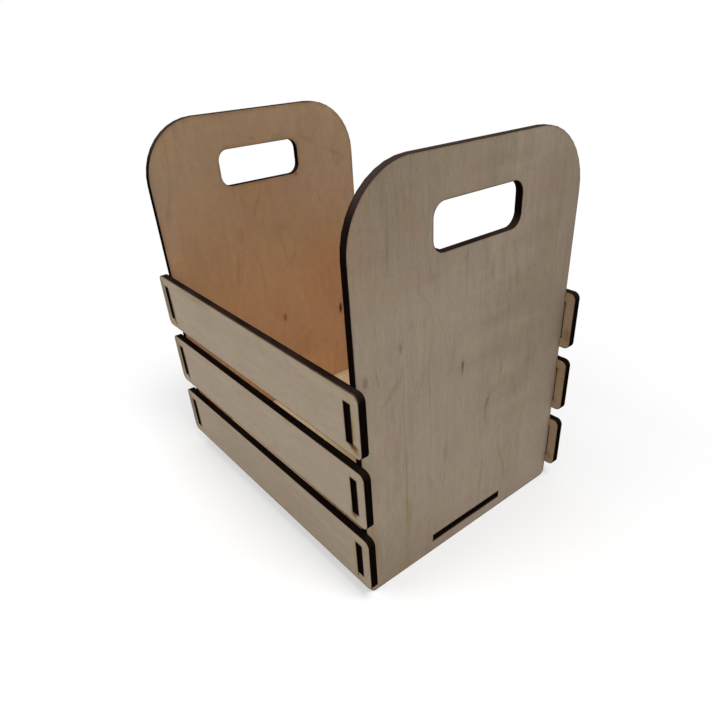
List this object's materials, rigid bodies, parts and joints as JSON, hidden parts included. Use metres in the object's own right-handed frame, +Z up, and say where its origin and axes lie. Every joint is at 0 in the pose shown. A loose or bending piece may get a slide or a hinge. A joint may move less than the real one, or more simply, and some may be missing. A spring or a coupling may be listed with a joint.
{
  "type": "slatted plywood garden basket",
  "caption": "Open-topped harvest crate of slot-together plywood: tall round-shouldered end panels with hand holes, spaced side slats hooked over tabs, and a tenoned floor.",
  "frame": {"origin": "on the ground, under the middle of the basket's outer box", "axes": "+X along the slats from the left end panel to the right one, +Y across the basket from the front slats to the back ones, +Z up"},
  "size_m": [0.3, 0.228, 0.317],
  "materials": {
    "panel_ply": "bare birch plywood, upright grain, laser-charred edges",
    "slat_ply": "bare birch plywood, lengthwise grain, laser-charred edges",
    "floor_ply": "bare birch plywood, lengthwise grain, laser-charred edges"
  },
  "bodies": {
    "root": {"end_panel_left": "panel_ply", "end_panel_right": "panel_ply", "floor_panel": "floor_ply", "front_slat_bottom": "slat_ply", "front_slat_middle": "slat_ply", "front_slat_top": "slat_ply", "back_slat_bottom": "slat_ply", "back_slat_middle": "slat_ply", "back_slat_top": "slat_ply"}
  },
  "joints": []
}
